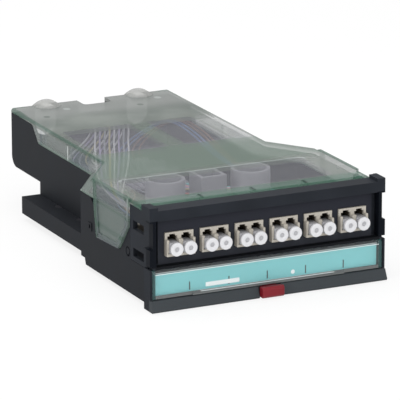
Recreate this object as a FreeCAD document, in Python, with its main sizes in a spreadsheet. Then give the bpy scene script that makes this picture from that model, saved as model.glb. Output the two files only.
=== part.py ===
import FreeCAD, Part
import math
import os
from types import SimpleNamespace

import Sketcher

# Fibre cassette for a 1U rack panel: a black tray with a narrow neck behind a
# wide front, a clear snap-on cover, six duplex adapters with dust caps, a
# hinged label window and a red release button. Millimetres, +Z up, front
# towards -Y. The origin lies under the middle of the whole object.

SIZES = {
    # Overall form, measured from the front plane backwards
    "tab_width": 108.0,
    "side_width": 105.0,
    "neck_width": 77.4,
    "case_depth": 180.0,
    "cover_top": 42.0,
    "part_line": 32.8,
    "shoulder_start": 72.8,
    "shoulder_run": 19.7,
    "shoulder_set_back": 7.6,
    "shoulder_inset": 3.6,
    "shoulder_lip": 0.35,
    # Walls
    "side_wall": 2.5,
    "neck_wall": 1.8,
    "floor_wall": 1.8,
    "cover_wall": 1.8,
    "cover_round": 1.2,
    "groove_pitch": 24.0,
    # Tray
    "sill_depth": 6.0,
    "pan_inset": 3.5,
    "side_bottom": 1.7,
    "lower_rear": 148.4,
    "deck_start": 94.0,
    "deck_bottom": 16.0,
    "rail_width": 95.0,
    "rail_bottom": 2.7,
    "rail_top": 10.4,
    "curve_start": 150.5,
    "curve_run": 6.5,
    "curve_radius": 2.6,
    "neck_corner": 5.0,
    "entry_offset": 22.5,
    "entry_radius": 5.5,
    "entry_centre": 33.5,
    "dome_radius": 9.0,
    "dome_height": 2.4,
    "dome_length": 9.5,
    "grip_width": 13.6,
    "grip_depth": 8.5,
    "grip_drop": 4.0,
    "drum_offset": 20.0,
    "drum_rear": 58.0,
    "drum_radius": 8.5,
    "drum_wall": 1.6,
    "drum_top": 38.0,
    "guide_base": 1.2,
    "guide_box_half": 6.0,
    "peg_radius": 2.0,
    # Front frame
    "frame_top": 42.4,
    "beam_depth": 8.0,
    "cheek_depth": 22.5,
    "cheek_bottom": 16.6,
    "frame_wall": 2.0,
    "panel_bottom": 18.6,
    "panel_top": 37.9,
    "panel_recess": 3.0,
    "panel_wall": 2.2,
    "sill_top": 4.6,
    "sill_nose": 2.6,
    "tab_top": 43.8,
    "tab_length": 6.3,
    "lower_tab_top": 26.0,
    # Adapters, caps and connectors
    "adapter_count": 6,
    "adapter_pitch": 15.9,
    "adapter_width": 12.8,
    "adapter_height": 9.7,
    "adapter_length": 26.7,
    "adapter_bottom": 22.4,
    "adapter_face": 0.3,
    "latch_step": 1.9,
    "latch_height": 2.8,
    "latch_wide": 4.4,
    "latch_narrow": 2.7,
    "port_pitch": 6.25,
    "port_width": 4.7,
    "port_centre": 25.9,
    "port_depth": 9.0,
    "bore_radius": 1.25,
    "cap_radius": 2.85,
    "cap_rim": 1.3,
    "cap_neck": 2.0,
    "cap_dimple": 1.1,
    "dimple_depth": 0.6,
    "cap_nose": 2.8,
    "connector_width": 4.5,
    "connector_length": 14.0,
    "boot_length": 13.0,
    "boot_radius": 1.9,
    "boot_tip": 1.3,
    # Label window and its strip
    "hinge_height": 16.2,
    "hinge_depth": 1.6,
    "pin_radius": 0.8,
    "knuckle_radius": 1.2,
    "window_wall": 1.2,
    "window_bottom": 5.0,
    "strip_wall": 0.4,
    "strip_height": 9.0,
    # Release button
    "button_width": 10.0,
    "button_nose": 4.7,
    "button_head": 3.2,
    "button_height": 4.6,
    "button_bottom": 0.4,
    "stem_width": 7.0,
    "stem_wall": 2.0,
    "stem_end": 14.0,
    "stem_height": 2.4,
    "spring_length": 6.0,
    "spring_folds": 6,
    "spring_wire": 0.35,
    # Splice holder and sleeves
    "splice_count": 12,
    "splice_pitch": 3.3,
    "splice_offset": -7.0,
    "comb_rear": 134.0,
    "comb_depth": 18.0,
    "comb_height": 6.0,
    "sleeve_length": 45.0,
    "splice_radius": 1.3,
    # Fibre
    "coil_height": 21.0,
    "bundle_radius": 1.3,
    # Fits
    "slip": 0.3,
    "seat_gap": 0.15,
    "pin_gap": 0.08,
}


class Size:
    """A length that knows both its number and the sheet formula behind it."""

    def __init__(self, number, formula):
        self.number = number
        self.formula = formula

    def combine(self, other, sign, number):
        return Size(number, f"({self.formula} {sign} {as_size(other).formula})")

    def __add__(self, other):
        return self.combine(other, "+", self.number + as_size(other).number)

    def __sub__(self, other):
        return self.combine(other, "-", self.number - as_size(other).number)

    def __mul__(self, other):
        return self.combine(other, "*", self.number * as_size(other).number)

    def __truediv__(self, other):
        return self.combine(other, "/", self.number / as_size(other).number)

    def __rsub__(self, other):
        return as_size(other) - self

    def __neg__(self):
        return Size(-self.number, f"(0 - {self.formula})")


def as_size(value):
    return value if isinstance(value, Size) else Size(float(value), repr(float(value)))


def make_sheet(document):
    sheet = document.addObject("Spreadsheet::Sheet", "Sizes")
    for row, (alias, number) in enumerate(SIZES.items(), start=1):
        sheet.set(f"A{row}", alias)
        sheet.set(f"B{row}", str(number))
        sheet.setAlias(f"B{row}", alias)
    document.recompute()
    known = {alias: Size(float(getattr(sheet, alias)), f"Sizes.{alias}") for alias in SIZES}
    return SimpleNamespace(**known)


doc = FreeCAD.newDocument("FibreCassette")
d = make_sheet(doc)

# Places worked out from the driving sizes
tab_half = d.tab_width / 2
side_half = d.side_width / 2
neck_half = d.neck_width / 2
rail_half = d.rail_width / 2
side_inner = side_half - d.side_wall
neck_inner = neck_half - d.neck_wall
shoulder_end = d.shoulder_start + d.shoulder_run
plate_under = d.cover_top - d.cover_wall
neck_top = plate_under - d.seat_gap
deck_top = d.deck_bottom + d.floor_wall
panel_back = d.panel_recess + d.panel_wall
front_plane = (d.button_nose - d.case_depth) / 2
cover_front = d.beam_depth + d.slip
adapter_rear = d.adapter_face + d.adapter_length
port_low = d.port_centre - d.port_width / 2
port_high = d.port_centre + d.port_width / 2
above_all = d.cover_top + 10
cover_low = d.part_line + d.seat_gap
coil_radius = d.drum_radius + d.bundle_radius + d.seat_gap

# Side outline of each cover latch tab, seen from the side as depth and height
tab_front = d.cheek_depth + 0.5
tab_rear = tab_front + 34.3
tab_outline = [
    (tab_front, d.cover_top),
    (tab_front, d.part_line - 2.4),
    (tab_front + 9.8, d.part_line - 14.5),
    (tab_rear - 2.6, d.part_line - 15.5),
    (tab_rear - 0.4, d.part_line - 4),
    (tab_rear + 0.6, d.cover_top),
]


# Sketch and feature helpers

def new_body(label, x=0, y=0, z=0):
    """A body whose own zero lies on the front plane of the cassette."""
    body = doc.addObject("PartDesign::Body", label)
    body.Label = label
    body.setExpression("Placement.Base.x", as_size(x).formula)
    body.setExpression("Placement.Base.y", (front_plane + y).formula)
    body.setExpression("Placement.Base.z", as_size(z).formula)
    return body


def origin_feature(body, role):
    return next(item for item in body.Origin.OriginFeatures if item.Role == role)


def plane_sketch(body, name, plane, offset):
    sketch = body.newObject("Sketcher::SketchObject", name)
    sketch.AttachmentSupport = (origin_feature(body, plane), [""])
    sketch.MapMode = "FlatFace"
    sketch.setExpression("AttachmentOffset.Base.z", as_size(offset).formula)
    return sketch


def pin_point(sketch, geometry, point, place):
    for kind, value in zip(("DistanceX", "DistanceY"), place):
        value = as_size(value)
        index = sketch.addConstraint(Sketcher.Constraint(kind, -1, 1, geometry, point, value.number))
        sketch.setExpression(f"Constraints[{index}]", value.formula)


def draw_outline(sketch, corners):
    """A closed outline of straight lines, each corner tied to its sizes."""
    first = sketch.GeometryCount
    count = len(corners)
    points = [FreeCAD.Vector(as_size(x).number, as_size(y).number, 0) for x, y in corners]
    for i in range(count):
        sketch.addGeometry(Part.LineSegment(points[i], points[(i + 1) % count]))
    for i in range(count):
        sketch.addConstraint(Sketcher.Constraint("Coincident", first + i, 2, first + (i + 1) % count, 1))
    for i in range(count):
        pin_point(sketch, first + i, 1, corners[i])


def draw_circle(sketch, centre, radius):
    index = sketch.GeometryCount
    middle = FreeCAD.Vector(as_size(centre[0]).number, as_size(centre[1]).number, 0)
    radius = as_size(radius)
    sketch.addGeometry(Part.Circle(middle, FreeCAD.Vector(0, 0, 1), radius.number))
    pin_point(sketch, index, 3, centre)
    constraint = sketch.addConstraint(Sketcher.Constraint("Radius", index, radius.number))
    sketch.setExpression(f"Constraints[{constraint}]", radius.formula)


def circle(x, y, radius):
    return ("circle", (x, y), radius)


def rectangle(x0, x1, y0, y1):
    return [(x0, y0), (x1, y0), (x1, y1), (x0, y1)]


def centred(half, y0, y1):
    return rectangle(-half, half, y0, y1)


def many_sided(x, y, radius, sides):
    """A round section drawn with flats, for slim or very small pieces."""
    corners = []
    for i in range(sides):
        turn = math.tau * (i + 0.5) / sides
        corners.append((radius * math.cos(turn) + x, radius * math.sin(turn) + y))
    return corners


def both_sides(*outlines):
    """Each outline and its mirror image across the middle."""
    pairs = []
    for outline in outlines:
        pairs += [outline, [(-as_size(x), y) for x, y in outline]]
    return pairs


def draw(sketch, outlines):
    for outline in outlines:
        if outline[0] == "circle":
            draw_circle(sketch, outline[1], outline[2])
        else:
            draw_outline(sketch, outline)


def add(body, name, plane, start, end, *outlines):
    """Solid between two places along the axis that crosses the plane."""
    start, end = as_size(start), as_size(end)
    offset = -end if plane == "XZ_Plane" else start
    sketch = plane_sketch(body, name + "_sketch", plane, offset)
    draw(sketch, outlines)
    pad = body.newObject("PartDesign::Pad", name)
    pad.Profile = sketch
    pad.setExpression("Length", (end - start).formula)
    return pad


def cut(body, name, plane, start, end, *outlines):
    """The same span taken away; it has to make the body smaller."""
    doc.recompute()
    before = body.Tip.Shape.Volume
    start, end = as_size(start), as_size(end)
    offset = -start if plane == "XZ_Plane" else end
    sketch = plane_sketch(body, name + "_sketch", plane, offset)
    draw(sketch, outlines)
    pocket = body.newObject("PartDesign::Pocket", name)
    pocket.Profile = sketch
    pocket.setExpression("Length", (end - start).formula)
    doc.recompute()
    if not pocket.Shape.Volume < before - 0.01:
        raise ValueError(f"{body.Label}: {name} cuts nothing")
    return pocket


def add_sides(body, name, inner, outer, *outlines):
    """Side-view outlines made solid between two widths, left and right."""
    add(body, name + "_right", "YZ_Plane", inner, outer, *outlines)
    add(body, name + "_left", "YZ_Plane", -as_size(outer), -as_size(inner), *outlines)


def cut_sides(body, name, inner, outer, *outlines):
    cut(body, name + "_right", "YZ_Plane", inner, outer, *outlines)
    cut(body, name + "_left", "YZ_Plane", -as_size(outer), -as_size(inner), *outlines)


def near(x=None, y=None, z=None, length=None):
    """Tells whether an edge's middle lies at the given coordinates."""
    places = {"x": x, "y": y, "z": z}
    wanted = [(axis, as_size(value).number) for axis, value in places.items() if value is not None]

    def test(edge):
        centre = edge.CenterOfMass
        if length is not None and abs(edge.Length - as_size(length).number) > 0.05:
            return False
        return all(abs(getattr(centre, axis) - value) < 0.05 for axis, value in wanted)

    return test


def soften(body, name, kind, radius, *tests):
    """Fillet or chamfer on the edges that pass any of the tests."""
    doc.recompute()
    base = body.Tip
    numbered = enumerate(base.Shape.Edges, start=1)
    edges = [f"Edge{i}" for i, edge in numbered if any(test(edge) for test in tests)]
    if not edges:
        raise ValueError(f"{body.Label}: {name} finds no edge")
    feature = body.newObject(f"PartDesign::{kind}", name)
    feature.Base = (base, edges)
    feature.setExpression("Radius" if kind == "Fillet" else "Size", as_size(radius).formula)
    return feature


def repeat_across(body, name, feature, pitch, count):
    pattern = body.newObject("PartDesign::LinearPattern", name)
    pattern.Originals = [feature]
    pattern.Direction = (origin_feature(body, "X_Axis"), [""])
    pattern.setExpression("Length", (pitch * (count - 1)).formula)
    pattern.setExpression("Occurrences", count.formula)
    body.Tip = pattern
    return pattern


# Tray

def case_outline(side, neck, front, shoulder, run, rear):
    """Plan of the wide front, the diagonal shoulders and the narrow neck."""
    right = [(side, front), (side, shoulder), (neck, shoulder + run), (neck, rear)]
    left = [(-as_size(x), y) for x, y in reversed(right)]
    return right + left


def tray_shell(body):
    """Outer form first, then the hollows from above and from below."""
    add(body, "walls", "XY_Plane", d.side_bottom, d.part_line,
        case_outline(side_half, neck_half, d.sill_depth, d.shoulder_start, d.shoulder_run, d.lower_rear))
    add(body, "neck", "XY_Plane", d.deck_bottom, neck_top, centred(neck_half, shoulder_end, d.case_depth))
    add(body, "pan", "XY_Plane", 0, d.side_bottom,
        case_outline(side_half - d.pan_inset, neck_half, d.sill_depth, d.shoulder_start - d.pan_inset,
                     d.shoulder_run, d.lower_rear))
    rail = [(neck_half, shoulder_end), (rail_half, d.shoulder_start), (rail_half, d.lower_rear),
            (neck_half, d.lower_rear)]
    add(body, "rails", "XY_Plane", d.rail_bottom, d.rail_top, *both_sides(rail))
    channel_side = rail_half - d.neck_wall
    channel = [(neck_half, shoulder_end + 0.5), (channel_side, d.shoulder_start + 10.2),
               (channel_side, d.lower_rear + 1), (neck_half, d.lower_rear + 1)]
    cut(body, "rail_channels", "XY_Plane", 0, d.rail_top - d.floor_wall, *both_sides(channel))
    ledge = d.side_bottom + d.floor_wall
    cavity_rear = d.deck_start - d.neck_wall
    front_room = d.sill_depth + d.neck_wall
    cut(body, "front_room", "XY_Plane", ledge, above_all,
        case_outline(side_inner, neck_inner, front_room, d.shoulder_start, d.shoulder_run - d.neck_wall,
                     cavity_rear))
    cut(body, "front_floor", "XY_Plane", d.floor_wall, ledge,
        case_outline(side_half - d.pan_inset - d.neck_wall, neck_inner, front_room,
                     d.shoulder_start - d.pan_inset, d.shoulder_run - d.neck_wall, cavity_rear))
    cut(body, "neck_room", "XY_Plane", deck_top, above_all,
        centred(neck_inner, cavity_rear - 1, d.case_depth - d.neck_wall))
    cut(body, "under_deck", "XY_Plane", -1, d.deck_bottom,
        centred(neck_inner, d.deck_start, d.lower_rear - d.neck_wall))


def tray_neck_form(body):
    """The high rear end falls in a smooth curve to the low neck wall."""
    low = [(shoulder_end - 6, d.part_line), (d.curve_start, d.part_line),
           (d.curve_start + d.curve_run, neck_top), (d.curve_start + d.curve_run, above_all),
           (shoulder_end - 6, above_all)]
    cut(body, "neck_step", "YZ_Plane", -neck_half - 1, neck_half + 1, low)
    curve_top = d.curve_start + d.curve_run
    soften(body, "neck_curve", "Fillet", d.curve_radius,
           near(y=d.curve_start, z=d.part_line), near(y=curve_top, z=neck_top))
    soften(body, "neck_corner_round", "Fillet", d.neck_corner,
           near(y=d.case_depth, z=d.deck_bottom, length=d.neck_width))
    for name, side in (("left", -1), ("right", 1)):
        centre = d.entry_offset * side
        cut(body, f"entry_{name}", "XZ_Plane", d.case_depth - d.neck_wall - 1, d.case_depth + 1,
            rectangle(centre - d.entry_radius, centre + d.entry_radius, d.entry_centre, above_all))
        cut(body, f"entry_round_{name}", "XZ_Plane", d.case_depth - d.neck_wall - 1, d.case_depth + 1,
            circle(centre, d.entry_centre, d.entry_radius))
    cut(body, "grip_notch", "XZ_Plane", d.case_depth - d.neck_wall - 1, d.case_depth + 1,
        centred(d.grip_width / 2, neck_top - d.grip_drop, above_all))


def tray_front_form(body):
    """Room for the frame's cheeks, seats for the latch tabs, rear chamfers."""
    cheek_room = rectangle(d.sill_depth - 1, d.cheek_depth + d.seat_gap,
                           d.cheek_bottom - d.seat_gap, above_all)
    cut_sides(body, "cheek_room", side_inner - 1, side_half + 1, cheek_room)
    seat = [(y, z) for y, z in tab_outline]
    seat[0] = (tab_front - d.slip, above_all)
    seat[1] = (tab_front - d.slip, d.part_line - 2.6)
    seat[2] = (tab_front + 9.5, d.part_line - 14.9)
    seat[3] = (tab_rear - 2.2, d.part_line - 15.9)
    seat[4] = (tab_rear + 0.2, d.part_line - 4)
    seat[5] = (tab_rear + 6, d.part_line + 0.2)
    seat.append((tab_rear + 6, above_all))
    cut_sides(body, "tab_seat", side_half - 0.9, side_half + 1, seat)
    heel = [(d.shoulder_start - 5.2, d.side_bottom - 1), (d.shoulder_start - 3.8, d.side_bottom + 2.8),
            (shoulder_end, d.side_bottom + 2.8), (shoulder_end, d.side_bottom - 1)]
    cut_sides(body, "heel", rail_half + 0.1, side_half + 1, heel)
    cut(body, "front_opening", "XZ_Plane", d.sill_depth - 1, d.sill_depth + d.neck_wall + 1,
        centred(side_inner - d.neck_wall, d.cheek_bottom - 1.2, above_all))


def tray_side_detail(body):
    """Framed catch window behind each tab and a round-ended slot before it."""
    catch_y = d.shoulder_start - 9.8
    catch_z = d.part_line - 13
    add_sides(body, "catch_frame", side_half - 0.1, side_half + 0.35,
              rectangle(catch_y - 1.8, catch_y + 1.8, catch_z - 1.7, catch_z + 1.7))
    cut_sides(body, "catch_hole", side_half - 1.2, side_half + 1,
              rectangle(catch_y - 0.8, catch_y + 0.6, catch_z - 0.8, catch_z + 0.9))
    slot_y = d.cheek_depth + 2.4
    cut_sides(body, "key_slot", side_half - 1, side_half + 1, circle(slot_y, catch_z - 0.7, 2.1))
    add_sides(body, "key_boss", side_half - 1.2, side_half - 0.2, circle(slot_y + 0.5, catch_z - 0.7, 1.5))


def tray_inside(body):
    """Guides and backstop for the button's stem, pegs for the fibre guide."""
    for name, side in (("left", -1), ("right", 1)):
        add(body, f"guide_peg_{name}", "XY_Plane", d.floor_wall - 0.3, d.floor_wall + d.guide_base + 1.5,
            many_sided(d.drum_offset * side, d.drum_rear, d.peg_radius, 8))
    stop_front = d.stem_end + d.spring_length
    add(body, "spring_stop", "XY_Plane", d.floor_wall - 0.3, d.stem_height + 4,
        centred(d.stem_width / 2, stop_front, stop_front + 2))
    guide_inner = d.stem_width / 2 + d.slip
    add(body, "stem_guides", "XY_Plane", d.floor_wall - 0.3, d.stem_height + 3,
        *both_sides(rectangle(guide_inner, guide_inner + 1.2, d.sill_depth + 0.5, stop_front + 2)))
    cut(body, "stem_passage", "XZ_Plane", d.sill_depth - 1, d.sill_depth + d.neck_wall + 0.2,
        centred(guide_inner, d.stem_height - d.slip, d.stem_height + d.stem_wall + d.slip))
    cut(body, "nose_window", "XY_Plane", -1, d.floor_wall + 1,
        centred(d.stem_width / 2, d.sill_depth + 2.4, d.stem_end + 0.8))


def make_tray():
    body = new_body("base_tray")
    tray_shell(body)
    tray_neck_form(body)
    tray_front_form(body)
    tray_side_detail(body)
    tray_inside(body)
    return body


# Fibre guide

def make_fibre_guide():
    """Two hollow drums and a box between them on one plate, over two pegs.

    A shelf round each drum carries the coil of fibre.
    """
    body = new_body("fibre_guide", y=d.drum_rear, z=d.floor_wall)
    centres = [("left", -d.drum_offset), ("right", d.drum_offset)]
    half = d.guide_box_half
    box_inner = half - d.drum_wall
    height = d.drum_top - d.floor_wall
    peg_holes = [many_sided(x, 0, d.peg_radius + d.seat_gap, 8) for name, x in centres]
    add(body, "base", "XY_Plane", 0, d.guide_base,
        centred(d.drum_offset + d.drum_radius - 1, -half, half), *peg_holes)
    shelf_top = d.coil_height - d.bundle_radius - d.floor_wall
    for name, x in centres:
        add(body, f"drum_{name}", "XY_Plane", 0, height,
            circle(x, 0, d.drum_radius), circle(x, 0, d.drum_radius - d.drum_wall))
        add(body, f"shelf_{name}", "XY_Plane", shelf_top - 1, shelf_top,
            many_sided(x, 0, coil_radius + d.bundle_radius, 24),
            many_sided(x, 0, d.drum_radius - d.drum_wall / 2, 24))
    bridge = rectangle(half - d.drum_wall / 2, d.drum_offset - d.drum_radius + d.drum_wall / 2,
                       -d.drum_wall / 2, d.drum_wall / 2)
    add(body, "bridge", "XY_Plane", 0, height - 9, *both_sides(bridge))
    add(body, "box", "XY_Plane", 0, height, centred(half, -half, half),
        centred(box_inner, -box_inner, box_inner))
    return body


# Front frame

def make_front_frame():
    body = new_body("front_frame")
    add(body, "block", "XZ_Plane", 0, d.beam_depth, centred(side_half, d.sill_top, d.frame_top))
    add(body, "lower_block", "XZ_Plane", 0, d.sill_depth, centred(tab_half, d.sill_top, d.panel_bottom - 1))
    nose = [(-0.6, d.sill_top), (-d.sill_nose, 0.7), (-d.sill_nose + 0.5, 0), (d.sill_depth, 0),
            (d.sill_depth, d.sill_top)]
    add(body, "sill", "YZ_Plane", -tab_half, tab_half, nose)
    cheek_inner = side_half - d.frame_wall
    cut(body, "back_room", "XZ_Plane", panel_back, d.beam_depth + 1,
        centred(cheek_inner, d.sill_top, plate_under + 0.2))
    cut(body, "lower_relief", "XZ_Plane", d.sill_depth, d.beam_depth + 1,
        centred(tab_half + 1, d.sill_top - 1, d.cheek_bottom))
    add_sides(body, "cheek", cheek_inner, side_half,
              rectangle(d.sill_depth, d.cheek_depth, d.cheek_bottom, plate_under - d.seat_gap))
    cut(body, "panel_face", "XZ_Plane", -1, d.panel_recess,
        centred(side_half - 1.5, d.panel_bottom, d.panel_top))
    groove = rectangle(side_half - 3.4, side_half - 1.5, d.panel_bottom + 0.4, d.panel_top - 0.4)
    cut(body, "column_grooves", "XZ_Plane", -1, d.panel_recess + 1.2, *both_sides(groove))
    label_half = tab_half - 0.9
    cut(body, "label_room", "XZ_Plane", -3, 4.4, centred(label_half, d.sill_top, d.panel_bottom - 1))
    pins = [circle(d.hinge_depth, d.hinge_height, d.pin_radius + d.pin_gap)]
    cut_sides(body, "pin_hole", label_half - 0.1, tab_half - 0.15, *pins)
    tab_inner = side_half - 0.2
    tab_base = d.tab_top - d.tab_length
    add_sides(body, "upper_tab", tab_inner, tab_half, rectangle(0, d.beam_depth, tab_base, d.tab_top))
    add_sides(body, "upper_tab_head", side_half - 2.2, tab_inner,
              rectangle(0, d.beam_depth - 0.4, d.frame_top - 0.1, d.tab_top))
    add_sides(body, "lower_tab", tab_inner, tab_half,
              rectangle(0, d.sill_depth, d.lower_tab_top - d.tab_length - 0.7, d.lower_tab_top))
    window_y = [d.cheek_depth - 13.5, d.cheek_depth - 3]
    cut_sides(body, "cheek_window", cheek_inner - 0.5, side_half + 1,
              rectangle(window_y[0], window_y[1], d.panel_bottom, d.panel_bottom + 3.6),
              rectangle(window_y[0], window_y[1], d.panel_bottom + 11.6, d.panel_bottom + 15.4))
    notch_half = d.button_width / 2 + d.slip
    notch_back = d.button_head - d.button_nose + 2.2
    cut(body, "button_notch", "XZ_Plane", -5, notch_back, centred(notch_half, -1, d.sill_top + 1))
    stem_half = d.stem_width / 2 + d.slip
    cut(body, "stem_slot", "XZ_Plane", notch_back - 0.2, d.sill_depth + 0.5,
        centred(stem_half, d.stem_height - d.slip, d.sill_top + 1))
    first_x = -d.adapter_pitch * (d.adapter_count - 1) / 2
    hole_half = d.adapter_width / 2 + 0.1
    hole = cut(body, "adapter_hole", "XZ_Plane", d.panel_recess - 1, panel_back + 1,
               rectangle(first_x - hole_half, first_x + hole_half, d.adapter_bottom - 0.1,
                         d.adapter_bottom + d.adapter_height + 0.1))
    repeat_across(body, "adapter_holes", hole, d.adapter_pitch, d.adapter_count)
    return body


# Adapters, dust caps and connectors

def adapter_x(index):
    return d.adapter_pitch * (index - 1) - d.adapter_pitch * (d.adapter_count - 1) / 2


def make_adapter(index):
    """Duplex adapter: stepped face and two ports joined by alignment bores."""
    body = new_body(f"lc_adapter_{index}", x=adapter_x(index))
    half = d.adapter_width / 2
    top = d.adapter_bottom + d.adapter_height
    step = top - d.latch_height
    recess = d.adapter_face + d.latch_step
    side = [(d.adapter_face, d.adapter_bottom), (adapter_rear, d.adapter_bottom), (adapter_rear, top),
            (recess, top), (recess, step), (d.adapter_face, step)]
    add(body, "housing", "YZ_Plane", -half, half, side)
    flange_front = panel_back + 0.05
    add(body, "flange", "XZ_Plane", flange_front, flange_front + 1.5,
        centred(half + 0.7, d.adapter_bottom - 0.8, top + 0.8))
    port_half = d.port_width / 2
    wide = d.latch_wide / 2
    narrow = d.latch_narrow / 2
    for name, side_sign in (("left", -1), ("right", 1)):
        x = d.port_pitch / 2 * side_sign
        port = rectangle(x - port_half, x + port_half, port_low, port_high)
        latch = rectangle(x - wide, x + wide, port_high - 0.5, top - 1.6)
        latch_top = rectangle(x - narrow, x + narrow, top - 1.7, top - 0.75)
        for step_name, outline in (("port", port), ("latch", latch), ("latch_top", latch_top)):
            cut(body, f"front_{step_name}_{name}", "XZ_Plane", -1, d.adapter_face + d.port_depth, outline)
        cut(body, f"rear_port_{name}", "XZ_Plane", adapter_rear - d.port_depth, adapter_rear + 1, port)
        cut(body, f"alignment_bore_{name}", "XZ_Plane", d.adapter_face, adapter_rear,
            many_sided(x, d.port_centre, d.bore_radius, 8))
    key = [(-half + 0.5, d.adapter_bottom + 1.1), (-half + 1.8, d.adapter_bottom + 1.1),
           (-half + 1.1, d.adapter_bottom + 2.3)]
    cut(body, "key_hole", "XZ_Plane", -1, d.adapter_face + 1.5, key)
    return body


def port_x(index):
    """Ports counted from the left, two to an adapter."""
    adapter = (index + 1) // 2
    side_sign = -1 if index % 2 else 1
    return adapter_x(adapter) + d.port_pitch / 2 * side_sign


def make_dust_cap(index):
    """Round rim with a dimple on its face, a slim neck and a square plug."""
    body = new_body(f"dust_cap_{index}", x=port_x(index), z=d.port_centre)
    nose = -d.cap_nose
    add(body, "head", "XZ_Plane", nose, nose + d.cap_rim, many_sided(0, 0, d.cap_radius, 16))
    add(body, "neck", "XZ_Plane", nose + d.cap_rim - 0.1, d.adapter_face, many_sided(0, 0, d.cap_neck, 8))
    plug = d.port_width / 2 - 0.1
    add(body, "plug", "XZ_Plane", d.adapter_face - 0.3, d.adapter_face + d.port_depth - 3,
        centred(plug, -plug, plug))
    cut(body, "dimple", "XZ_Plane", nose - 1, nose + d.dimple_depth, many_sided(0, 0, d.cap_dimple, 8))
    return body


def make_connector(index):
    """Pigtail connector in the rear port, with a stepped bend relief boot."""
    body = new_body(f"pigtail_connector_{index}", x=port_x(index), z=d.port_centre)
    half = d.connector_width / 2
    front = adapter_rear - d.port_depth + 2
    rear = front + d.connector_length
    add(body, "plug", "XZ_Plane", front, rear, centred(half, -half, half))
    slim_start = rear + d.boot_length / 2
    add(body, "boot", "XZ_Plane", rear - 0.2, slim_start, many_sided(0, 0, d.boot_radius, 8))
    add(body, "slim_boot", "XZ_Plane", slim_start - 0.2, rear + d.boot_length,
        many_sided(0, 0, d.boot_tip, 8))
    return body


# Clear cover

def cover_form(body, side, neck, front, shoulder, rear, bottom, top, slope_height):
    """Upright walls in plan, with a slope down to each shoulder."""
    add(body, "form", "XY_Plane", bottom, top,
        case_outline(side, neck, front, shoulder, d.shoulder_run, rear))
    slope = soften(body, "shoulder_slope", "Chamfer", slope_height,
                   near(y=shoulder + d.shoulder_run / 2, z=top))
    slope.ChamferType = "Two distances"
    whole_slope = d.cover_top - cover_low - d.shoulder_lip
    slope.setExpression("Size2", (d.shoulder_set_back * slope_height / whole_slope).formula)
    return slope


def cover_shell(body):
    """Outer form less the room inside, which runs out at the front and rear."""
    cover_form(body, side_half, neck_half, cover_front, d.shoulder_start, d.case_depth, cover_low,
               d.cover_top, d.cover_top - cover_low - d.shoulder_lip)

    def top_side_edge(edge):
        middle = edge.CenterOfMass
        on_top = abs(middle.z - d.cover_top.number) < 0.01
        return on_top and cover_front.number + 1 < middle.y < d.case_depth.number - 1

    soften(body, "top_round", "Fillet", d.cover_round, top_side_edge)
    room = doc.addObject("PartDesign::Body", "cover_room")
    cover_form(room, side_half - d.cover_wall, neck_inner, cover_front - 1,
               d.shoulder_start - d.shoulder_inset, d.case_depth + 1, cover_low - 1, plate_under,
               plate_under - cover_low)
    hollow = body.newObject("PartDesign::Boolean", "hollow")
    hollow.Type = "Cut"
    hollow.setObjects([room])
    body.Tip = hollow


def dome_places():
    return [("left", -d.entry_offset), ("right", d.entry_offset)]


def cover_domes(body):
    """A round-topped dome over each cable entry, its front end a cone."""
    centre_z = d.cover_top + d.dome_height - d.dome_radius
    cone_end = d.case_depth - d.dome_length + 4
    for name, x in dome_places():
        add(body, f"dome_{name}", "XZ_Plane", cone_end, d.case_depth, circle(x, centre_z, d.dome_radius))
        wide = plane_sketch(body, f"cone_wide_{name}", "XZ_Plane", -cone_end)
        draw_circle(wide, (x, centre_z), d.dome_radius)
        narrow = plane_sketch(body, f"cone_narrow_{name}", "XZ_Plane", 4 - cone_end)
        draw_circle(narrow, (x, centre_z), d.dome_radius - d.dome_height)
        cone = body.newObject("PartDesign::AdditiveLoft", f"cone_{name}")
        cone.Profile = wide
        cone.Sections = [narrow]


def cover_hollow(body):
    """Skirt cut to the tray's curve; room for the cheeks, cables and fingers."""
    below = cover_low - 12
    step_rear = d.curve_start + d.curve_run
    step = [(d.curve_start - 0.6, below), (d.curve_start - 0.6, cover_low), (step_rear - 0.6, plate_under),
            (d.case_depth + 1, plate_under), (d.case_depth + 1, below)]
    cut(body, "skirt_step", "YZ_Plane", -neck_half - 1, neck_half + 1, step)
    soften(body, "skirt_curve", "Fillet", d.curve_radius,
           near(y=d.curve_start - 0.6, z=cover_low), near(y=step_rear - 0.6, z=plate_under))
    cut_sides(body, "cheek_room", side_half - d.cover_wall - 1, side_half + 2,
              rectangle(cover_front - 1, tab_front, below, plate_under))
    centre_z = d.cover_top + d.dome_height - d.dome_radius
    for name, x in dome_places():
        cut(body, f"dome_hollow_{name}", "XZ_Plane", d.case_depth - d.dome_length + 4, d.case_depth + 1,
            circle(x, centre_z, d.dome_radius - d.cover_wall))
    cut(body, "grip", "XY_Plane", plate_under - 1, d.cover_top + 1,
        centred(d.grip_width / 2, d.case_depth - d.grip_depth, d.case_depth + 1))
    soften(body, "grip_round", "Fillet", 2,
           near(x=d.grip_width / 2, y=d.case_depth - d.grip_depth),
           near(x=-d.grip_width / 2, y=d.case_depth - d.grip_depth))


def cover_tabs(body):
    """Latch tab on each side, thinner within its rim, with a snap hole."""
    inner = side_half - 0.6
    outer = side_half + 1
    add_sides(body, "tab", inner, outer, tab_outline)
    field = [(tab_front + 3, d.part_line + 2), (tab_front + 3, d.part_line - 3.4),
             (tab_front + 11.4, d.part_line - 12.4), (tab_rear - 5.2, d.part_line - 12.9),
             (tab_rear - 4, d.part_line - 4), (tab_rear - 3.6, d.part_line + 2)]
    cut_sides(body, "tab_field", outer - 0.5, outer + 1, field)
    cut_sides(body, "snap_hole", inner - 1, outer + 1, circle(tab_rear - 4.4, d.part_line - 14.1, 0.8))


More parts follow.
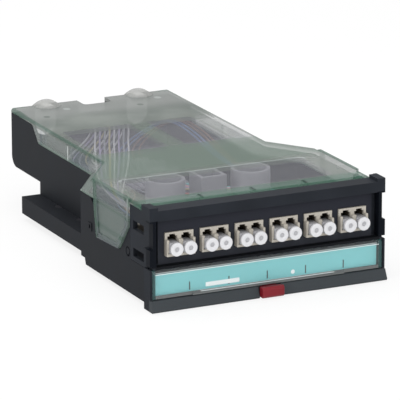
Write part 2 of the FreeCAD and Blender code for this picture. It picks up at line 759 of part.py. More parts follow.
def cover_marks(body):
    """Three short grooves behind the front edge and thin ribs in the skirt."""
    grooves = [rectangle(x - 0.6, x + 0.6, cover_front + 5, cover_front + 9)
               for x in (-d.groove_pitch, as_size(0), d.groove_pitch)]
    cut(body, "front_grooves", "XY_Plane", d.cover_top - 0.7, d.cover_top + 1, *grooves)
    for name, rib in (("front", d.deck_start + 25), ("rear", d.curve_start - 4)):
        add_sides(body, f"rib_{name}", neck_inner - 0.8, neck_inner + 0.2,
                  rectangle(rib, rib + 0.8, cover_low, plate_under + 0.2))


def make_cover():
    body = new_body("clear_cover")
    cover_shell(body)
    cover_domes(body)
    cover_hollow(body)
    cover_tabs(body)
    cover_marks(body)
    return body


# Label window and its strip

def make_label_window():
    """Clear flap with pins at its upper ends and a channel along its foot."""
    body = new_body("label_window")
    half = tab_half - 0.9 - d.slip
    face = d.hinge_depth - d.window_wall
    foot = d.window_bottom
    section = [(face, d.hinge_height), (face, foot), (face + 2.8, foot), (face + 2.8, foot + 2.4),
               (face + 2.3, foot + 2.4), (face + 2.3, foot + 1), (face + d.window_wall, foot + 1),
               (face + d.window_wall, d.hinge_height)]
    add(body, "plate", "YZ_Plane", -half, half, section)
    lip = [(face, foot), (face - 0.9, foot), (face - 0.9, foot + 0.5), (face, foot + 1.1)]
    add(body, "lip", "YZ_Plane", -half * 0.66, half * 0.66, lip)
    add(body, "knuckle", "YZ_Plane", -half, half, circle(d.hinge_depth, d.hinge_height, d.knuckle_radius))
    add(body, "pins", "YZ_Plane", -half - 1, half + 1, circle(d.hinge_depth, d.hinge_height, d.pin_radius))
    return body


def make_label_strip():
    """Coloured card that stands in the window's channel."""
    strip = doc.addObject("Part::Box", "label_strip")
    strip.Label = "label_strip"
    left = -(side_half - 1.5)
    bind(strip, {
        "Length": -left * 2,
        "Width": d.strip_wall,
        "Height": d.strip_height,
        "Placement.Base.x": left,
        "Placement.Base.y": front_plane + d.hinge_depth + 0.3,
        "Placement.Base.z": d.window_bottom + 1,
    })
    return strip


def bind(item, sizes):
    for name, value in sizes.items():
        item.setExpression(name, as_size(value).formula)


# Release button

def make_button():
    """Red head, flat stem and a latch nose that drops through the floor.

    The head is lower at the back, where it goes in under the label window.
    """
    body = new_body("release_button")
    head_rear = d.button_head - d.button_nose
    top = d.button_bottom + d.button_height
    back_top = d.window_bottom - d.slip
    head = [(-d.button_nose, d.button_bottom + 0.9), (-d.button_nose + 0.6, d.button_bottom),
            (head_rear, d.button_bottom), (head_rear, back_top), (head_rear - 1.4, back_top),
            (head_rear - 1.4, top), (-d.button_nose + 0.8, top), (-d.button_nose, top - 1.2)]
    add(body, "head", "YZ_Plane", -d.button_width / 2, d.button_width / 2, head)
    stem_top = d.stem_height + d.stem_wall
    add(body, "stem", "YZ_Plane", -d.stem_width / 2, d.stem_width / 2,
        rectangle(head_rear - 0.3, d.stem_end, d.stem_height, stem_top))
    nose = [(d.stem_end - 4.6, d.stem_height + 0.3), (d.stem_end - 4.6, 1.2), (d.stem_end - 3.8, 0.3),
            (d.stem_end - 2.2, 0.3), (d.stem_end - 1.6, d.stem_height + 0.3)]
    add(body, "latch_nose", "YZ_Plane", -2.4, 2.4, nose)
    return body


def make_spring():
    """Meander spring: a block slit from alternate sides, behind the stem."""
    body = new_body("button_spring", z=d.stem_height)
    start = d.stem_end + 0.05
    half = d.stem_width / 2 - 0.6
    end = start + d.spring_length - 0.1
    add(body, "block", "XY_Plane", 0, d.stem_wall, centred(half, start, end))
    fold = (end - start - d.spring_wire) / d.spring_folds
    slits = []
    for turn in range(int(d.spring_folds.number)):
        slit_start = start + fold * turn + d.spring_wire
        side = -1 if turn % 2 else 1
        slits.append(rectangle((half + 1) * side, (half - d.spring_wire) * -side, slit_start,
                               slit_start + fold - d.spring_wire))
    cut(body, "slits", "XY_Plane", -1, d.stem_wall + 1, *slits)
    return body


# Splice holder, splice sleeves and fibre

def make_splice_holder():
    """Comb of upright walls that grips the splice sleeves side by side."""
    body = new_body("splice_holder", x=d.splice_offset, z=deck_top)
    half = d.splice_pitch * (d.splice_count + 1) / 2
    add(body, "base", "XY_Plane", 0, 1.4, centred(half, d.comb_rear - d.comb_depth, d.comb_rear))
    wall = 0.6
    first = -d.splice_pitch * d.splice_count / 2
    comb_front = d.comb_rear - d.comb_depth
    fin = add(body, "fin", "XY_Plane", 1.2, d.comb_height,
              rectangle(first - wall / 2, first + wall / 2, comb_front, comb_front + 5),
              rectangle(first - wall / 2, first + wall / 2, d.comb_rear - 5, d.comb_rear))
    repeat_across(body, "fins", fin, d.splice_pitch, d.splice_count + 1)
    return body


def make_splice_sleeve(index):
    """Shrunk splice protector lying in one slot of the comb."""
    x = d.splice_offset + d.splice_pitch * (index - 0.5) - d.splice_pitch * d.splice_count / 2
    body = new_body(f"splice_sleeve_{index}", x=x, z=deck_top + 1.4 + d.splice_radius)
    middle = d.comb_rear - d.comb_depth / 2
    add(body, "sleeve", "XZ_Plane", middle - d.sleeve_length / 2, middle + d.sleeve_length / 2,
        many_sided(0, 0, d.splice_radius, 8))
    return body


def make_fibre_coil():
    """Outer form of the pigtails wound round both drums, a flat oval ring."""
    body = new_body("fibre_coil", y=d.drum_rear, z=d.coil_height)
    x = d.drum_offset
    outer = coil_radius + d.bundle_radius
    inner = coil_radius - d.bundle_radius
    start, end = -d.bundle_radius, d.bundle_radius
    add(body, "oval", "XY_Plane", start, end, rectangle(-x, x, -outer, outer))
    add(body, "right_end", "XY_Plane", start, end, circle(x, 0, outer))
    add(body, "left_end", "XY_Plane", start, end, circle(-x, 0, outer))
    cut(body, "oval_room", "XY_Plane", start - 1, end + 1, rectangle(-x, x, -inner, inner))
    cut(body, "right_room", "XY_Plane", start - 1, end + 1, circle(x, 0, inner))
    cut(body, "left_room", "XY_Plane", start - 1, end + 1, circle(-x, 0, inner))
    return body


def build_all():
    ports = int(d.adapter_count.number) * 2
    pieces = [make_tray(), make_fibre_guide(), make_front_frame(), make_cover(), make_label_window(),
              make_label_strip(), make_button(), make_spring(), make_splice_holder(), make_fibre_coil()]
    pieces += [make_adapter(index) for index in range(1, ports // 2 + 1)]
    pieces += [make_dust_cap(index) for index in range(1, ports + 1)]
    pieces += [make_connector(index) for index in range(1, ports + 1)]
    pieces += [make_splice_sleeve(index) for index in range(1, int(d.splice_count.number) + 1)]
    return pieces


def check_and_write(pieces):
    doc.recompute()
    for item in doc.Objects:
        if "Invalid" in item.State or "Error" in item.State:
            raise ValueError(f"{item.Label} is {item.State}")
    for piece in pieces:
        if piece.Shape.isNull() or not piece.Shape.isValid() or not piece.Shape.Solids:
            raise ValueError(f"{piece.Label} has no sound solid")
        if len(piece.Shape.Solids) != 1:
            raise ValueError(f"{piece.Label} fell into {len(piece.Shape.Solids)} solids")
    os.makedirs("parts", exist_ok=True)
    for piece in pieces:
        piece.Shape.exportStep(f"parts/{piece.Label}.step")


check_and_write(build_all())
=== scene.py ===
import math

import bmesh
import bpy
from mathutils import Matrix, Quaternion, Vector


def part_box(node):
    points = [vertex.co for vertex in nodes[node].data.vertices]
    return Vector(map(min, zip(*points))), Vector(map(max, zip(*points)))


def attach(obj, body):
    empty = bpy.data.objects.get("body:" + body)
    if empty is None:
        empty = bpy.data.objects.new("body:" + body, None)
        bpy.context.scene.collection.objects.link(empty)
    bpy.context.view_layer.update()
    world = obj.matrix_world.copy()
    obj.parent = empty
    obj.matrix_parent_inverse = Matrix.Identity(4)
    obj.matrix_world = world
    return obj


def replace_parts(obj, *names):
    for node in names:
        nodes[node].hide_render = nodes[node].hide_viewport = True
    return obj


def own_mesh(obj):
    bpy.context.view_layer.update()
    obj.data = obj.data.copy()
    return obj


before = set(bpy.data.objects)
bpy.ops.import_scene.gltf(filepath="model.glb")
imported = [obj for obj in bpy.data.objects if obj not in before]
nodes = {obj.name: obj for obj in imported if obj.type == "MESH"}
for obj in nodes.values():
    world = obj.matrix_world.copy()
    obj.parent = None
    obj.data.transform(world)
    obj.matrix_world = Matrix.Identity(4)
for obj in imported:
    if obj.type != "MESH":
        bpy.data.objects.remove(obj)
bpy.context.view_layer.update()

# Camera. A long lens stands well back, above and to the left of the cassette,
# so the front, the left side and the clear cover all show. The picture is
# square, and the lens is shifted a little, as in the photograph.

aim = Vector((0, -0.02765, 0.02615))
distance = 1.69172
azimuth, elevation, roll = math.radians(-25.55), math.radians(15.93), math.radians(-0.1)
away = Vector((math.sin(azimuth) * math.cos(elevation), -math.cos(azimuth) * math.cos(elevation),
               math.sin(elevation)))
lens = bpy.data.cameras.new("camera")
lens.sensor_width = 36
lens.lens = 358.87
lens.shift_x = -0.0151
lens.shift_y = -0.00365
lens.clip_start = 0.05
camera = bpy.data.objects.new("camera", lens)
camera.location = aim + away * distance
camera.rotation_mode = "QUATERNION"
camera.rotation_quaternion = (-away).to_track_quat("-Z", "Y") @ Quaternion((0, 0, 1), roll)
bpy.context.scene.collection.objects.link(camera)
bpy.context.scene.camera = camera
bpy.context.scene.view_settings.view_transform = "Standard"

# Studio. A white paper floor in an even white room, with soft lamps above, at
# the left, which lights the long side, and in front. The paper lies a hair
# below the feet and keeps a faint shadow.

room_light = 0.72
floor_level = -0.0003
floor_reach = 8
own_glow_of_paper = 0.82


def soft_lamp(name, place, towards, size, watts):
    light = bpy.data.lights.new(name, "AREA")
    light.size = size
    light.energy = watts
    lamp = bpy.data.objects.new(name, light)
    lamp.location = place
    lamp.rotation_mode = "QUATERNION"
    lamp.rotation_quaternion = (Vector(towards) - Vector(place)).to_track_quat("-Z", "Y")
    bpy.context.scene.collection.objects.link(lamp)


def shown_rays(tree):
    """1 for the rays that show a backdrop: seen straight, in gloss or through glass."""
    path = tree.nodes.new("ShaderNodeLightPath")
    total = path.outputs["Is Camera Ray"]
    for name in ("Is Glossy Ray", "Is Transmission Ray"):
        larger = tree.nodes.new("ShaderNodeMath")
        larger.operation = "MAXIMUM"
        tree.links.new(total, larger.inputs[0])
        tree.links.new(path.outputs[name], larger.inputs[1])
        total = larger.outputs[0]
    return total


soft_lamp("overhead_lamp", (-0.15, 0.1, 1.1), (0, 0, 0), 1.0, 6.0)
soft_lamp("left_lamp", (-1.1, -0.5, 0.5), (0, 0, 0.02), 0.7, 3.0)
soft_lamp("front_lamp", (0.1, -1.4, 0.7), (0, 0, 0.02), 0.8, 4.0)

room = bpy.data.worlds.new("white_room")
room.use_nodes = True
bpy.context.scene.world = room
air = room.node_tree
air.nodes["Background"].inputs["Color"].default_value = (1, 1, 1, 1)
air.nodes["Background"].inputs["Strength"].default_value = room_light
plain_white = air.nodes.new("ShaderNodeBackground")
plain_white.inputs["Color"].default_value = (1, 1, 1, 1)
plain_white.inputs["Strength"].default_value = 1.0
either = air.nodes.new("ShaderNodeMixShader")
air.links.new(shown_rays(air), either.inputs[0])
air.links.new(air.nodes["Background"].outputs[0], either.inputs[1])
air.links.new(plain_white.outputs[0], either.inputs[2])
air.links.new(either.outputs[0], air.nodes["World Output"].inputs["Surface"])

sweep = bmesh.new()
bmesh.ops.create_grid(sweep, x_segments=1, y_segments=1, size=floor_reach,
                      matrix=Matrix.Translation((0, 0, floor_level)))
floor_mesh = bpy.data.meshes.new("studio_floor")
sweep.to_mesh(floor_mesh)
sweep.free()
floor = bpy.data.objects.new("studio_floor", floor_mesh)
bpy.context.scene.collection.objects.link(floor)
paper = bpy.data.materials.new("white_paper")
paper.use_nodes = True
sheet = paper.node_tree
sheet.nodes["Principled BSDF"].inputs["Base Color"].default_value = (0.9, 0.9, 0.9, 1)
sheet.nodes["Principled BSDF"].inputs["Roughness"].default_value = 0.9
sheet.nodes["Principled BSDF"].inputs["Specular IOR Level"].default_value = 0.0
shine = sheet.nodes.new("ShaderNodeEmission")
shine.inputs["Strength"].default_value = 1.0
half_lit = sheet.nodes.new("ShaderNodeMixShader")
half_lit.inputs[0].default_value = own_glow_of_paper
sheet.links.new(sheet.nodes["Principled BSDF"].outputs[0], half_lit.inputs[1])
sheet.links.new(shine.outputs[0], half_lit.inputs[2])
either_ray = sheet.nodes.new("ShaderNodeMixShader")
sheet.links.new(shown_rays(sheet), either_ray.inputs[0])
sheet.links.new(sheet.nodes["Principled BSDF"].outputs[0], either_ray.inputs[1])
sheet.links.new(half_lit.outputs[0], either_ray.inputs[2])
sheet.links.new(either_ray.outputs[0], sheet.nodes["Material Output"].inputs["Surface"])
floor_mesh.materials.append(paper)

# Tray. One black moulding of tough plastic with a fine spark-eroded grain,
# dull on its walls, with small rounded edges that catch the light. Ejector
# pins left shallow round marks on its level faces.

front_plane_y = -87.65
mark_pitch_x, mark_pitch_y, mark_radius = 52, 46, 2.2
soft_edge = 0.15


def number_step(tree, how, *values, clamp=True):
    """One step of arithmetic between numbers or outputs."""
    step = tree.nodes.new("ShaderNodeMath")
    step.operation = how
    step.use_clamp = clamp
    for socket, value in zip(step.inputs, values):
        if isinstance(value, (int, float)):
            socket.default_value = value
        else:
            tree.links.new(value, socket)
    return step.outputs[0]


def rise(tree, value, low, high):
    """0 below the first place, 1 above the second, smooth between."""
    ramp = tree.nodes.new("ShaderNodeMapRange")
    ramp.interpolation_type = "SMOOTHSTEP"
    ramp.inputs["From Min"].default_value = low
    ramp.inputs["From Max"].default_value = high
    tree.links.new(value, ramp.inputs["Value"])
    return ramp.outputs["Result"]


def both(tree, *masks):
    """1 where every mask is 1."""
    total = masks[0]
    for mask in masks[1:]:
        total = number_step(tree, "MULTIPLY", total, mask)
    return total


def axes_in_mm(tree):
    """X, Y and Z of a point on the piece, in millimetres, Y from the front."""
    place = tree.nodes.new("ShaderNodeTexCoord")
    scaled = tree.nodes.new("ShaderNodeVectorMath")
    scaled.operation = "MULTIPLY_ADD"
    scaled.inputs[1].default_value = (1000, 1000, 1000)
    scaled.inputs[2].default_value = (0, -front_plane_y, 0)
    tree.links.new(place.outputs["Object"], scaled.inputs[0])
    parts = tree.nodes.new("ShaderNodeSeparateXYZ")
    tree.links.new(scaled.outputs[0], parts.inputs[0])
    return parts.outputs[0], parts.outputs[1], parts.outputs[2]


def blend(tree, amount, first, second):
    """Goes from the first colour or output to the second as amount grows."""
    mixed = tree.nodes.new("ShaderNodeMix")
    mixed.data_type = "RGBA"
    tree.links.new(amount, mixed.inputs["Factor"])
    for name, value in (("A", first), ("B", second)):
        socket = next(s for s in mixed.inputs if s.name == name and s.type == "RGBA")
        if isinstance(value, tuple):
            socket.default_value = (*value, 1)
        else:
            tree.links.new(value, socket)
    return next(s for s in mixed.outputs if s.type == "RGBA")


def blend_number(tree, amount, first, second):
    """Goes from the first number or output to the second as amount grows."""
    mixed = tree.nodes.new("ShaderNodeMix")
    mixed.data_type = "FLOAT"
    tree.links.new(amount, mixed.inputs["Factor"])
    for socket, value in ((mixed.inputs["A"], first), (mixed.inputs["B"], second)):
        if isinstance(value, (int, float)):
            socket.default_value = value
        else:
            tree.links.new(value, socket)
    return mixed.outputs["Result"]


def noise(tree, scale, detail=2):
    """A cloud of values about one half, finer with a larger scale."""
    place = tree.nodes.new("ShaderNodeTexCoord")
    cloud = tree.nodes.new("ShaderNodeTexNoise")
    cloud.inputs["Scale"].default_value = scale
    cloud.inputs["Detail"].default_value = detail
    tree.links.new(place.outputs["Object"], cloud.inputs["Vector"])
    return cloud.outputs["Fac"]


def raise_by(tree, height, depth_m, strength, under=None):
    """Makes a height between 0 and 1 stand out of the surface."""
    bump = tree.nodes.new("ShaderNodeBump")
    bump.inputs["Strength"].default_value = strength
    bump.inputs["Distance"].default_value = depth_m
    tree.links.new(height, bump.inputs["Height"])
    if under:
        tree.links.new(under, bump.inputs["Normal"])
    return bump.outputs["Normal"]


def plastic(name, colour, roughness, grain=0.15, mottle=0.12, gloss=0.5):
    """Moulded plastic: a fine grain, a slow change of tone and dull patches."""
    material = bpy.data.materials.new(name)
    material.use_nodes = True
    tree = material.node_tree
    surface = tree.nodes["Principled BSDF"]
    surface.inputs["Specular IOR Level"].default_value = gloss
    cloud = noise(tree, 55, 4)
    darker = tuple(v * (1 - mottle) for v in colour)
    lighter = tuple(min(1, v * (1 + mottle)) for v in colour)
    tone = blend(tree, rise(tree, cloud, 0.3, 0.7), darker, lighter)
    tree.links.new(tone, surface.inputs["Base Color"])
    dull = blend_number(tree, cloud, roughness - 0.06, roughness + 0.06)
    tree.links.new(dull, surface.inputs["Roughness"])
    pits = raise_by(tree, noise(tree, 2600), 0.0002, grain)
    tree.links.new(pits, surface.inputs["Normal"])
    return material


def recolour(material, mask, colour):
    """Lays a second colour over a plastic where the mask is 1."""
    tree = material.node_tree
    socket = tree.nodes["Principled BSDF"].inputs["Base Color"]
    tree.links.new(blend(tree, mask, socket.links[0].from_socket, colour), socket)


def finish_node(name, material, edge=0.0002):
    """Gives a CAD node its material and a small round on its edges."""
    node = nodes[name]
    node.material_slots[0].material = material
    if edge:
        joined = node.modifiers.new("join_faces", "WELD")
        joined.merge_threshold = 1e-6
        rounded = node.modifiers.new("round_edges", "BEVEL")
        rounded.width = edge
        rounded.segments = 2
        rounded.limit_method = "ANGLE"
        rounded.angle_limit = math.radians(35)
        rounded.harden_normals = False
        rounded.use_clamp_overlap = True


def level_faces(tree):
    """1 on faces that lie level, up or down."""
    facing = tree.nodes.new("ShaderNodeNewGeometry")
    parts = tree.nodes.new("ShaderNodeSeparateXYZ")
    tree.links.new(facing.outputs["True Normal"], parts.inputs[0])
    return rise(tree, number_step(tree, "ABSOLUTE", parts.outputs[2]), 0.9, 0.95)


def pin_marks(material, pitch_x, pitch_y, radius):
    """Shallow round marks of the ejector pins, in rows on the level faces."""
    tree = material.node_tree
    x, y = axes_in_mm(tree)[:2]
    flat = tree.nodes.new("ShaderNodeCombineXYZ")
    for value, pitch, socket in ((x, pitch_x, flat.inputs[0]), (y, pitch_y, flat.inputs[1])):
        folded = number_step(tree, "PINGPONG", value, pitch / 2, clamp=False)
        tree.links.new(number_step(tree, "SUBTRACT", folded, pitch / 4, clamp=False), socket)
    away_from = tree.nodes.new("ShaderNodeVectorMath")
    away_from.operation = "LENGTH"
    tree.links.new(flat.outputs[0], away_from.inputs[0])
    disc = rise(tree, away_from.outputs["Value"], radius + soft_edge, radius - soft_edge)
    mark = both(tree, disc, level_faces(tree))
    surface = tree.nodes["Principled BSDF"]
    under = surface.inputs["Normal"].links[0].from_socket
    sunk = raise_by(tree, number_step(tree, "SUBTRACT", 1.0, mark), 0.0002, 0.8, under)
    tree.links.new(sunk, surface.inputs["Normal"])
    return mark


black = plastic("black_plastic", (0.013, 0.0148, 0.0185), 0.62, grain=0.08, gloss=0.1)
recolour(black, pin_marks(black, mark_pitch_x, mark_pitch_y, mark_radius), (0.025, 0.025, 0.03))
finish_node("base_tray", black)

# Front frame. The same black plastic, moulded apart and clipped over the
# tray's front; its sill, facing up, and its panel have painted light, and
# its posts and the ledge over the label have painted shade from their grooves.


def within(tree, value, low, high, soft=0.8):
    """1 between the two places."""
    up = rise(tree, value, low - soft / 2, low + soft / 2)
    down = rise(tree, value, high + soft / 2, high - soft / 2)
    return both(tree, up, down)


front_black = plastic("black_front_plastic", (0.02, 0.023, 0.029), 0.6, grain=0.08, gloss=0.06)
tree = front_black.node_tree
x, y, z = axes_in_mm(tree)
# painted light on the sill, which faces up
sill_painted_light = both(tree, rise(tree, z, 5.2, 4.6), rise(tree, y, 1.5, 0.5))
recolour(front_black, sill_painted_light, (0.054, 0.061, 0.067))
width = number_step(tree, "ABSOLUTE", x, clamp=False)
# painted shade on the posts, in their grooves
posts_painted_shade = both(tree, rise(tree, width, 50.1, 50.4), within(tree, z, 18.4, 38.2, 0.4), rise(tree, y, 4.0, 3.5))
recolour(front_black, posts_painted_shade, (0.0045, 0.006, 0.0095))
# painted light on the panel from the front, paler low down
panel = both(tree, within(tree, y, 2.8, 3.3, 0.1), rise(tree, width, 50.0, 49.6),
             within(tree, z, 18.8, 37.7, 0.2))
panel_painted_light = blend(tree, rise(tree, z, 36, 20), (0.026, 0.028, 0.037), (0.035, 0.038, 0.047))
recolour(front_black, panel, panel_painted_light)
# painted shade on the ledge over the label
ledge_painted_shade = both(tree, within(tree, z, 17.4, 18.8, 0.1), rise(tree, y, 3.2, 2.8), rise(tree, width, 51.6, 51.2))
recolour(front_black, ledge_painted_shade, (0.008, 0.009, 0.011))
finish_node("front_frame", front_black)

# Fibre guide. Two drums and a box on one plate, moulded in milky plastic and
# set over two pegs of the tray. The drums' upper rims carry a painted highlight.

milky = plastic("milky_plastic", (0.32, 0.325, 0.35), 0.35, grain=0.03, mottle=0.05)
tree = milky.node_tree
z = axes_in_mm(tree)[2]
# painted highlight on the drums' upper rims
recolour(milky, rise(tree, z, 36.9, 37.5), (0.36, 0.365, 0.39))
finish_node("fibre_guide", milky, edge=0.00015)

# Adapters. Beige glass-filled plastic, pressed into the front frame until
# their flanges meet its back. The deep parts of the ports lie in shade, and
# so do the bodies behind the panel.

beige = plastic("beige_plastic", (0.51, 0.475, 0.415), 0.45, grain=0.08, mottle=0.06, gloss=0.3)
tree = beige.node_tree
y = axes_in_mm(tree)[1]
recolour(beige, rise(tree, y, 15, 17), (0.16, 0.145, 0.125))
recolour(beige, within(tree, y, 3.4, 16, 1.8), (0.085, 0.07, 0.052))
for number in range(1, 7):
    finish_node(f"lc_adapter_{number}", beige, edge=0.00012)

# Dust caps. Soft waxy plastic: a thin round rim with a dimple where the mould
# was filled, a slim neck and a square plug that fits a port. Each is turned
# in form, so it stands in for its node as a smooth piece.

plug_half, plug_depth, plug_round = 2.25, 6.3, 0.3
dimple_depth, dimple_reach = -2.3, 0.98


def place_in_metres(x, y, z):
    """A place in millimetres, its depth counted from the front plane."""
    return Vector((x, y + front_plane_y, z)) / 1000


def middle_of(name):
    """The middle of a CAD node as seen from the front, in millimetres."""
    low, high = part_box(name)
    return (low[0] + high[0]) * 500, (low[2] + high[2]) * 500


def spin_round(work, profile, centre, steps=32):
    """Turns a profile of depth and radius about an axis from front to back."""
    x, z = centre
    loop = [work.verts.new(place_in_metres(x, depth, z + radius)) for depth, radius in profile]
    edges = [work.edges.new(pair) for pair in zip(loop, loop[1:])]
    bmesh.ops.spin(work, geom=loop + edges, cent=place_in_metres(x, 0, z), axis=(0, 1, 0),
                   angle=math.tau, steps=steps, use_merge=True)


def new_piece(name, work, materials, body, smooth=40):
    """Turns the worked mesh into a piece that rides on a body."""
    bmesh.ops.remove_doubles(work, verts=work.verts, dist=1e-7)
    bmesh.ops.recalc_face_normals(work, faces=work.faces)
    mesh = bpy.data.meshes.new(name)
    work.to_mesh(mesh)
    work.free()
    for material in materials:
        mesh.materials.append(material)
    mesh.shade_smooth()
    mesh.set_sharp_from_angle(angle=math.radians(smooth))
    piece = bpy.data.objects.new(name, mesh)
    bpy.context.scene.collection.objects.link(piece)
    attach(piece, body)
    return piece


def beam(work, low, high, round_mm):
    """A rounded bar between two corners given in millimetres."""
    low, high = place_in_metres(*low), place_in_metres(*high)
    made = bmesh.ops.create_cube(work, size=1, matrix=Matrix.Translation((low + high) / 2)
                                 @ Matrix.Diagonal((*(high - low), 1)))
    edges = {edge for vert in made["verts"] for edge in vert.link_edges}
    bmesh.ops.bevel(work, geom=list(edges), offset=round_mm / 1000, offset_type="OFFSET", segments=2,
                    profile=0.5, affect="EDGES", clamp_overlap=True, material=-1)


wax = plastic("waxy_white_plastic", (0.7, 0.7, 0.72), 0.34, grain=0.03, mottle=0.03)
tree = wax.node_tree
y = axes_in_mm(tree)[1]
# painted shade on the neck and the plug behind the rim
recolour(wax, rise(tree, y, -2.0, -1.5), (0.42, 0.42, 0.44))
# a darker copy of the wax: painted shade in the dimple
wax_painted_shade_in_dimple = plastic("waxy_white_plastic_painted_shade_in_dimple", (0.47, 0.47, 0.49), 0.5, grain=0.03, mottle=0.03)
cap_profile = [(-2.1, 0), (-2.1, 0.75), (-2.3, 0.98), (-2.7, 1.1), (-2.8, 1.25), (-2.8, 2.5), (-2.72, 2.74),
               (-2.5, 2.85), (-1.75, 2.85), (-1.55, 2.76), (-1.5, 2.55), (-1.5, 2.0), (0.3, 2.0), (0.3, 0)]
for number in range(1, 13):
    across, level = middle_of(f"dust_cap_{number}")
    work = bmesh.new()
    spin_round(work, cap_profile, (across, level))
    dimple = place_in_metres(across, dimple_depth, level)
    for face in work.faces:
        if (face.calc_center_median() - dimple).length < dimple_reach / 1000:
            face.material_index = 1
    beam(work, (across - plug_half, 0, level - plug_half),
         (across + plug_half, plug_depth, level + plug_half), plug_round)
    cap = new_piece(f"waxy_cap_{number}", work, [wax, wax_painted_shade_in_dimple], "tray")
    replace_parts(cap, f"dust_cap_{number}")

# Connectors. Small umber plugs with grey rubber boots, pushed into the
# adapters from behind.

plug_plastic = plastic("connector_plastic", (0.13, 0.12, 0.105), 0.5, grain=0.05, gloss=0.2)
tree = plug_plastic.node_tree
y = axes_in_mm(tree)[1]
recolour(plug_plastic, rise(tree, y, 33.8, 34.0), (0.2, 0.205, 0.22))
for number in range(1, 13):
    finish_node(f"pigtail_connector_{number}", plug_plastic, edge=0.0001)

# Splice holder and sleeves. A grey rubber comb grips twelve shrunk tubes.
# Each tube is clear, and a steel pin with pointed ends shows inside it.

rubber = plastic("grey_rubber", (0.3, 0.3, 0.33), 0.7, grain=0.2)
finish_node("splice_holder", rubber, edge=0)
tube = plastic("shrunk_tube", (0.66, 0.66, 0.72), 0.22, grain=0.02, mottle=0.05)
tube.node_tree.nodes["Principled BSDF"].inputs["Alpha"].default_value = 0.45
steel = plastic("steel_pin", (0.55, 0.55, 0.57), 0.3, grain=0.01)
steel.node_tree.nodes["Principled BSDF"].inputs["Metallic"].default_value = 1.0

pin_profile = [(104, 0), (104.3, 0.45), (104.7, 0.6), (145.3, 0.6), (145.7, 0.45), (146, 0)]
pin_below_axis = 0.55
sleeve_middles = []
work = bmesh.new()
for number in range(1, 13):
    finish_node(f"splice_sleeve_{number}", tube, edge=0.0001)
    across, level = middle_of(f"splice_sleeve_{number}")
    sleeve_middles.append((across, level))
    spin_round(work, pin_profile, (across, level - pin_below_axis), 12)
new_piece("splice_steel_pins", work, [steel], "tray")

# Fibres. Thin jacketed fibres run from the boots round the drums and up the
# neck into the sleeves. Behind the sleeves their slack turns back over them
# and comes forward again to the turns wound round both drums.

fibre_radius = 0.00045
adapter_pitch, port_offset = 15.9, 3.125
drum_x, drum_y = 20, 58

jackets = {}
for colour_name, colour in (
        ("blue", (0.09, 0.17, 0.36)), ("orange", (0.48, 0.2, 0.07)), ("green", (0.05, 0.35, 0.12)),
        ("brown", (0.2, 0.09, 0.04)), ("slate", (0.3, 0.32, 0.36)), ("white", (0.62, 0.62, 0.65)),
        ("red", (0.5, 0.03, 0.03)), ("black", (0.03, 0.03, 0.035)), ("yellow", (0.5, 0.43, 0.18)),
        ("violet", (0.36, 0.31, 0.5)), ("rose", (0.75, 0.4, 0.45)), ("aqua", (0.2, 0.6, 0.62))):
    jackets[colour_name] = plastic(f"jacket_{colour_name}", colour, 0.35, grain=0.02, mottle=0.06)
jacket_names = list(jackets)


def lay_fibres(name, routes):
    """Thin fibres in one piece: each has its points in millimetres, a jacket and closed or not."""
    curve = bpy.data.curves.new(name, "CURVE")
    curve.dimensions = "3D"
    curve.bevel_depth = fibre_radius
    curve.bevel_resolution = 1
    curve.use_fill_caps = True
    for jacket in jackets.values():
        curve.materials.append(jacket)
    for points, jacket_name, closed in routes:
        line = curve.splines.new("NURBS")
        line.points.add(len(points) - 1)
        for point, place in zip(line.points, points):
            point.co = (*place_in_metres(*place), 1)
        line.order_u = 4
        line.use_endpoint_u = not closed
        line.use_cyclic_u = closed
        line.resolution_u = 6
        line.material_index = jacket_names.index(jacket_name)
    piece = bpy.data.objects.new(name, curve)
    bpy.context.scene.collection.objects.link(piece)
    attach(piece, "tray")
    return piece


# each pigtail keeps to a lane beside or between the drums, mirrored at the right
lanes = (37.2, 35.4, 33.5, 32.3, 9.7, 8.3)
slack_jackets = ("white", "violet", "slate", "yellow", "white", "violet", "slate", "white",
                 "blue", "blue", "brown", "brown")
pigtails, slack = [], []
for number in range(12):
    side = -1 if number < 6 else 1
    outward = number if number < 6 else 11 - number
    across = adapter_pitch * (number // 2 - 2.5) + (port_offset if number % 2 else -port_offset)
    lane = side * lanes[outward]
    into, level = sleeve_middles[number]
    route = [(across, 45.5, 25.9), (across, 48.4, 25.7)]
    if outward == 3:
        route.append((side * 26.5, 48.7, 25.0))
    route += [(lane, 54, 24.8), (lane, 63, 24.2), (0.6 * lane + 0.4 * into, 82, 22.6),
              (into, 96, level), (into, 104, level)]
    pigtails.append((route, jacket_names[number], False))
    if number < 8:
        back = -7 + 2.3 * number
        route = [(into, 146, level), (into, 155, level), (back * 0.5 + into * 0.5, 165, 22),
                 (back + 3, 171, 27), (back + 2, 168, 33), (back, 158, 34.6 - 0.1 * number),
                 (back - 11, 136, 34), (back - 19, 116, 32), (-34.5 + 1.9 * number, 96, 28),
                 (-34.5 + 0.3 * number, 78, 24.5), (-31.6, 64, 23.2), (-30.6, 54, 22.9), (-25, 48.4, 22.4),
                 (-17, 48.2, 22.0)]
    else:
        back = 27.5 + 2.1 * (number - 8)
        route = [(into, 146, level), (into, 155, level), (into + 6, 165, 23), (back - 4, 170, 28),
                 (back, 162, 33.5), (back + 0.6, 148, 35), (back, 126, 33.5), (back - 2, 104, 30),
                 (34.5, 84, 25), (31.8, 66, 23.2), (30.6, 54, 22.9), (25, 48.4, 22.4), (17, 48.2, 22.0)]
    slack.append((route, slack_jackets[number], False))
lay_fibres("pigtail_fibres", pigtails)
lay_fibres("slack_fibres", slack)

